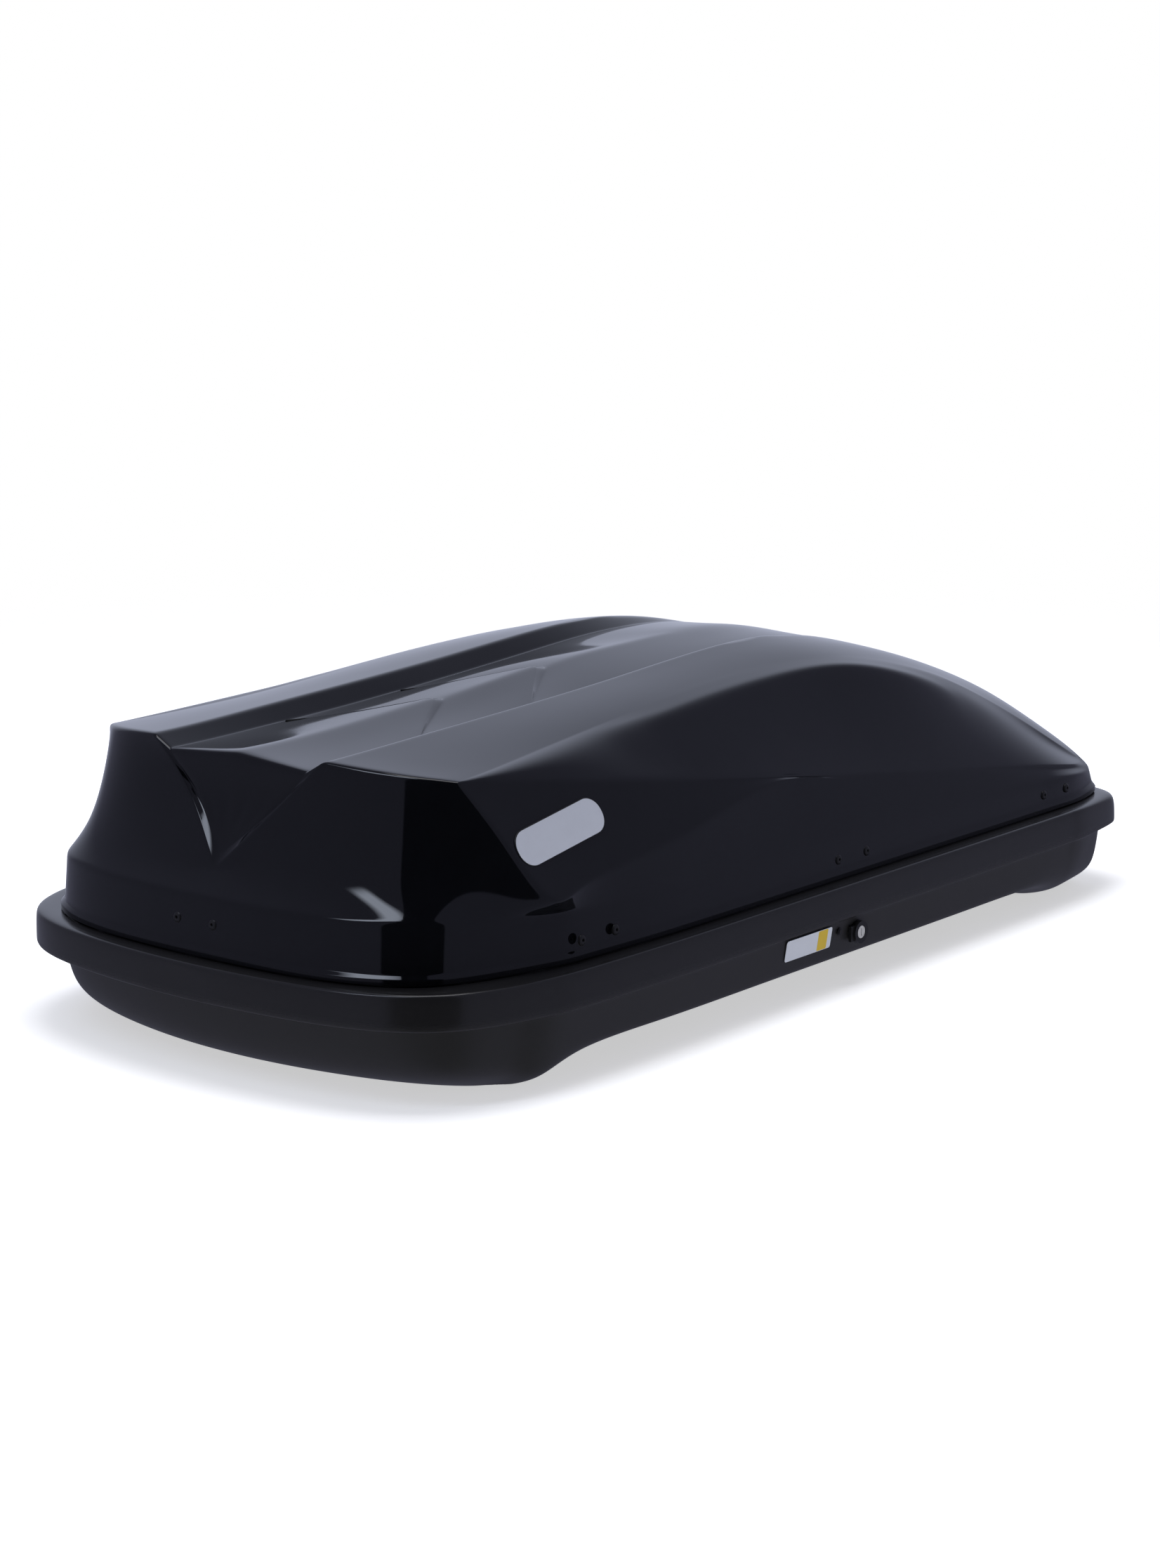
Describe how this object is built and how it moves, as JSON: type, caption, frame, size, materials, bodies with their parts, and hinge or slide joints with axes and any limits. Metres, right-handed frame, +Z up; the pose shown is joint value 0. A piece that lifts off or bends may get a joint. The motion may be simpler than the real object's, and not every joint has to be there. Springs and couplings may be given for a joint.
{
  "type": "roof cargo box",
  "caption": "Streamlined car roof box: glossy hinged lid on a grained tray, key lock with sliding bar, folding lid stays and crossbar clamps.",
  "frame": {"origin": "middle of the footprint, on the ground under the tray's two lobes", "axes": "+X towards the nose, +Y towards the hinges, -Y towards the lock, +Z up"},
  "size_m": [1.33, 0.679, 0.3495],
  "materials": {
    "lid_gloss_abs": "high-gloss black thermoformed ABS",
    "tray_grained_abs": "satin black ABS with a fine grain",
    "moulded_nylon": "satin black moulded nylon",
    "foam_rubber": "matt black foam strip",
    "zinc_steel": "zinc-plated steel",
    "nickel": "nickel-plated",
    "printed_film": "white vinyl film, blank"
  },
  "bodies": {
    "tray": {"bar_guide_1": "moulded_nylon", "bar_guide_2": "moulded_nylon", "bar_guide_3": "moulded_nylon", "base_rail_left": "zinc_steel", "base_rail_right": "zinc_steel", "base_shell": "tray_grained_abs", "blank_label": "printed_film", "hinge_1_base_leaf": "zinc_steel", "hinge_1_pin": "nickel", "hinge_2_base_leaf": "zinc_steel", "hinge_2_pin": "nickel", "hinge_3_base_leaf": "zinc_steel", "hinge_3_pin": "nickel", "lid_seal": "foam_rubber", "lock_housing": "moulded_nylon", "lock_nut": "zinc_steel", "stay_front_base_bracket": "zinc_steel", "stay_front_base_pin": "nickel", "stay_rear_base_bracket": "zinc_steel", "stay_rear_base_pin": "nickel", "wall_rivet": "moulded_nylon"},
    "lid": {"lid_shell": "lid_gloss_abs", "side_badge": "printed_film", "hinge_1_lid_leaf": "zinc_steel", "hinge_2_lid_leaf": "zinc_steel", "hinge_3_lid_leaf": "zinc_steel", "latch_plate_1": "zinc_steel", "latch_plate_2": "zinc_steel", "latch_plate_3": "zinc_steel", "stay_front_lid_bracket": "zinc_steel", "stay_front_lid_pin": "nickel", "stay_rear_lid_bracket": "zinc_steel", "stay_rear_lid_pin": "nickel"},
    "lock": {"lock_cylinder": "nickel", "lock_cam": "zinc_steel"},
    "bar": {"locking_bar": "zinc_steel"},
    "stay_rear_lower": {"stay_rear_lower_arm": "zinc_steel", "stay_rear_elbow_pin": "nickel"},
    "stay_rear_upper": {"stay_rear_upper_arm": "zinc_steel"},
    "stay_front_lower": {"stay_front_lower_arm": "zinc_steel", "stay_front_elbow_pin": "nickel"},
    "stay_front_upper": {"stay_front_upper_arm": "zinc_steel"},
    "clamp_rear_left": {"clamp_rear_left_plate": "zinc_steel"},
    "clamp_rear_left_bolt": {"clamp_rear_left_u_bolt": "zinc_steel"},
    "clamp_rear_left_knob_1": {"clamp_rear_left_knob_1": "moulded_nylon"},
    "clamp_rear_left_knob_2": {"clamp_rear_left_knob_2": "moulded_nylon"},
    "clamp_rear_right": {"clamp_rear_right_plate": "zinc_steel"},
    "clamp_rear_right_bolt": {"clamp_rear_right_u_bolt": "zinc_steel"},
    "clamp_rear_right_knob_1": {"clamp_rear_right_knob_1": "moulded_nylon"},
    "clamp_rear_right_knob_2": {"clamp_rear_right_knob_2": "moulded_nylon"},
    "clamp_front_left": {"clamp_front_left_plate": "zinc_steel"},
    "clamp_front_left_bolt": {"clamp_front_left_u_bolt": "zinc_steel"},
    "clamp_front_left_knob_1": {"clamp_front_left_knob_1": "moulded_nylon"},
    "clamp_front_left_knob_2": {"clamp_front_left_knob_2": "moulded_nylon"},
    "clamp_front_right": {"clamp_front_right_plate": "zinc_steel"},
    "clamp_front_right_bolt": {"clamp_front_right_u_bolt": "zinc_steel"},
    "clamp_front_right_knob_1": {"clamp_front_right_knob_1": "moulded_nylon"},
    "clamp_front_right_knob_2": {"clamp_front_right_knob_2": "moulded_nylon"}
  },
  "joints": [
    {"name": "lid_hinge", "type": "hinge", "parent": "tray", "child": "lid", "pos_m": [0.02, 0.3265, 0.121], "axis": [-1, 0, 0], "range_deg": [0, 50]},
    {"name": "key_turn", "type": "hinge", "parent": "tray", "child": "lock", "pos_m": [0.0335, -0.33, 0.0585], "axis": [0, 1, 0], "range_deg": [0, 90]},
    {"name": "bar_slide", "type": "slide", "parent": "tray", "child": "bar", "axis": [1, 0, 0], "range_m": [0, 0.012]},
    {"name": "stay_rear_lower_turn", "type": "hinge", "parent": "tray", "child": "stay_rear_lower", "pos_m": [-0.505, 0.08874, 0.04375], "axis": [-1, 0, 0], "range_deg": [0, 50]},
    {"name": "stay_rear_upper_turn", "type": "hinge", "parent": "stay_rear_lower", "child": "stay_rear_upper", "pos_m": [-0.505, -0.14903, 0.121], "axis": [-1, 0, 0], "range_deg": [-50, 0]},
    {"name": "stay_front_lower_turn", "type": "hinge", "parent": "tray", "child": "stay_front_lower", "pos_m": [0.505, 0.08874, 0.04375], "axis": [-1, 0, 0], "range_deg": [0, 50]},
    {"name": "stay_front_upper_turn", "type": "hinge", "parent": "stay_front_lower", "child": "stay_front_upper", "pos_m": [0.505, -0.14903, 0.121], "axis": [-1, 0, 0], "range_deg": [-50, 0]},
    {"name": "clamp_rear_left_shift", "type": "slide", "parent": "tray", "child": "clamp_rear_left", "axis": [1, 0, 0], "range_m": [-0.05, 0.05]},
    {"name": "clamp_rear_left_bolt_lift", "type": "slide", "parent": "clamp_rear_left", "child": "clamp_rear_left_bolt", "axis": [0, 0, -1], "range_m": [0, 0.0075]},
    {"name": "clamp_rear_left_knob_1_turn", "type": "hinge", "parent": "clamp_rear_left", "child": "clamp_rear_left_knob_1", "pos_m": [-0.29, 0.235, 0.05], "axis": [0, 0, 1], "range_deg": [0, 2160]},
    {"name": "clamp_rear_left_knob_2_turn", "type": "hinge", "parent": "clamp_rear_left", "child": "clamp_rear_left_knob_2", "pos_m": [-0.21, 0.235, 0.05], "axis": [0, 0, 1], "range_deg": [0, 2160]},
    {"name": "clamp_rear_right_shift", "type": "slide", "parent": "tray", "child": "clamp_rear_right", "axis": [1, 0, 0], "range_m": [-0.05, 0.05]},
    {"name": "clamp_rear_right_bolt_lift", "type": "slide", "parent": "clamp_rear_right", "child": "clamp_rear_right_bolt", "axis": [0, 0, -1], "range_m": [0, 0.0075]},
    {"name": "clamp_rear_right_knob_1_turn", "type": "hinge", "parent": "clamp_rear_right", "child": "clamp_rear_right_knob_1", "pos_m": [-0.29, -0.235, 0.05], "axis": [0, 0, 1], "range_deg": [0, 2160]},
    {"name": "clamp_rear_right_knob_2_turn", "type": "hinge", "parent": "clamp_rear_right", "child": "clamp_rear_right_knob_2", "pos_m": [-0.21, -0.235, 0.05], "axis": [0, 0, 1], "range_deg": [0, 2160]},
    {"name": "clamp_front_left_shift", "type": "slide", "parent": "tray", "child": "clamp_front_left", "axis": [1, 0, 0], "range_m": [-0.05, 0.05]},
    {"name": "clamp_front_left_bolt_lift", "type": "slide", "parent": "clamp_front_left", "child": "clamp_front_left_bolt", "axis": [0, 0, -1], "range_m": [0, 0.0075]},
    {"name": "clamp_front_left_knob_1_turn", "type": "hinge", "parent": "clamp_front_left", "child": "clamp_front_left_knob_1", "pos_m": [0.21, 0.235, 0.05], "axis": [0, 0, 1], "range_deg": [0, 2160]},
    {"name": "clamp_front_left_knob_2_turn", "type": "hinge", "parent": "clamp_front_left", "child": "clamp_front_left_knob_2", "pos_m": [0.29, 0.235, 0.05], "axis": [0, 0, 1], "range_deg": [0, 2160]},
    {"name": "clamp_front_right_shift", "type": "slide", "parent": "tray", "child": "clamp_front_right", "axis": [1, 0, 0], "range_m": [-0.05, 0.05]},
    {"name": "clamp_front_right_bolt_lift", "type": "slide", "parent": "clamp_front_right", "child": "clamp_front_right_bolt", "axis": [0, 0, -1], "range_m": [0, 0.0075]},
    {"name": "clamp_front_right_knob_1_turn", "type": "hinge", "parent": "clamp_front_right", "child": "clamp_front_right_knob_1", "pos_m": [0.21, -0.235, 0.05], "axis": [0, 0, 1], "range_deg": [0, 2160]},
    {"name": "clamp_front_right_knob_2_turn", "type": "hinge", "parent": "clamp_front_right", "child": "clamp_front_right_knob_2", "pos_m": [0.29, -0.235, 0.05], "axis": [0, 0, 1], "range_deg": [0, 2160]}
  ],
  "couplings": [
    {"joint": "key_turn", "follows": "bar_slide", "rad_per_m": 130.9},
    {"joint": "stay_rear_lower_turn", "follows": "lid_hinge", "ratio": 1},
    {"joint": "stay_rear_upper_turn", "follows": "lid_hinge", "ratio": -1},
    {"joint": "stay_front_lower_turn", "follows": "lid_hinge", "ratio": 1},
    {"joint": "stay_front_upper_turn", "follows": "lid_hinge", "ratio": -1},
    {"joint": "clamp_rear_left_knob_1_turn", "follows": "clamp_rear_left_bolt_lift", "rad_per_m": 5026.5},
    {"joint": "clamp_rear_left_knob_2_turn", "follows": "clamp_rear_left_bolt_lift", "rad_per_m": 5026.5},
    {"joint": "clamp_rear_right_knob_1_turn", "follows": "clamp_rear_right_bolt_lift", "rad_per_m": 5026.5},
    {"joint": "clamp_rear_right_knob_2_turn", "follows": "clamp_rear_right_bolt_lift", "rad_per_m": 5026.5},
    {"joint": "clamp_front_left_knob_1_turn", "follows": "clamp_front_left_bolt_lift", "rad_per_m": 5026.5},
    {"joint": "clamp_front_left_knob_2_turn", "follows": "clamp_front_left_bolt_lift", "rad_per_m": 5026.5},
    {"joint": "clamp_front_right_knob_1_turn", "follows": "clamp_front_right_bolt_lift", "rad_per_m": 5026.5},
    {"joint": "clamp_front_right_knob_2_turn", "follows": "clamp_front_right_bolt_lift", "rad_per_m": 5026.5}
  ]
}
